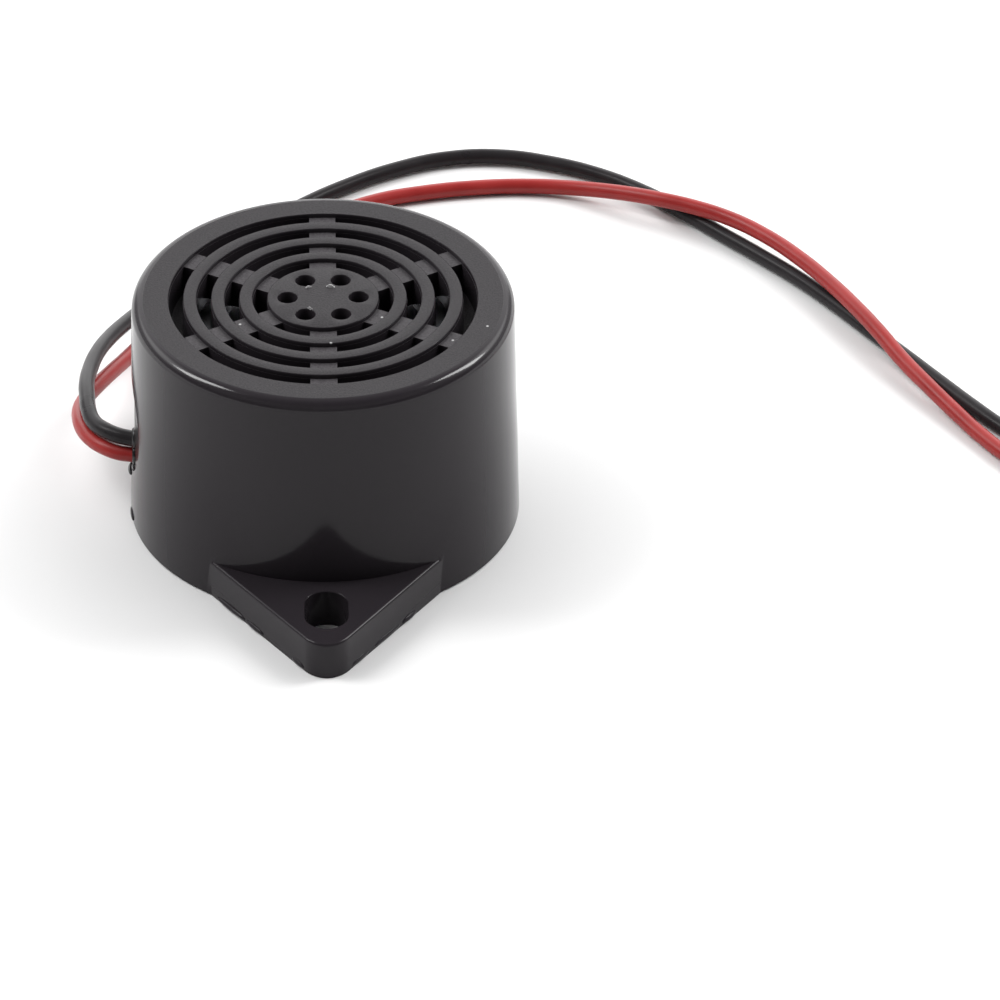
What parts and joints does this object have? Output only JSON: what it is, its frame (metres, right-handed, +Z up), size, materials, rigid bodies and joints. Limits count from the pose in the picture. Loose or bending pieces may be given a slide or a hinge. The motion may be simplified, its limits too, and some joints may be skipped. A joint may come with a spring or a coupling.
{
  "type": "piezo buzzer",
  "caption": "Round black flange-mounted piezo buzzer with a slotted ring grille, pointed fixing ears with slotted holes, and red and black flying leads with bare ends.",
  "frame": {"origin": "centre of the base, on the surface that the buzzer stands on or is screwed to", "axes": "+Z up through the grille, +Y along the line of the two fixing ears, and the leads leave through the wall on the -X side"},
  "size_m": [0.0944, 0.0753, 0.0197],
  "materials": {
    "housing": "glossy moulded wall, fine matte grain on the grille face",
    "compound": "cast epoxy",
    "board": "phenolic laminate",
    "solder": "dull bright metal",
    "ferrite": "sintered",
    "winding": "enamelled copper",
    "tinned_wire": "tinned copper",
    "component_body": "moulded",
    "resistor": "lacquered",
    "diode": "tinted glass",
    "nickel_plate": "nickel plated",
    "piezo_ceramic": "silvered",
    "silicone": "cured bead",
    "red_insulation": "satin PVC",
    "black_insulation": "satin PVC",
    "white_insulation": "satin PVC"
  },
  "bodies": {
    "root": {"housing": "housing", "lead_seal": "compound", "potting": "compound", "circuit_board": "board", "solder_joints": "solder", "choke_core": "ferrite", "choke_winding": "winding", "choke_pins": "tinned_wire", "transistor": "component_body", "resistors": "resistor", "diode": "diode", "component_legs": "tinned_wire", "sounder_plate": "nickel_plate", "sounder_ceramic": "piezo_ceramic", "disc_bond": "silicone", "disc_solder": "solder", "plate_wire": "black_insulation", "drive_wire": "red_insulation", "feedback_wire": "white_insulation", "red_lead_root": "red_insulation", "black_lead_root": "black_insulation", "lead_cores": "tinned_wire", "red_lead": "red_insulation", "black_lead": "black_insulation", "red_lead_tip": "tinned_wire", "black_lead_tip": "tinned_wire"}
  },
  "joints": []
}
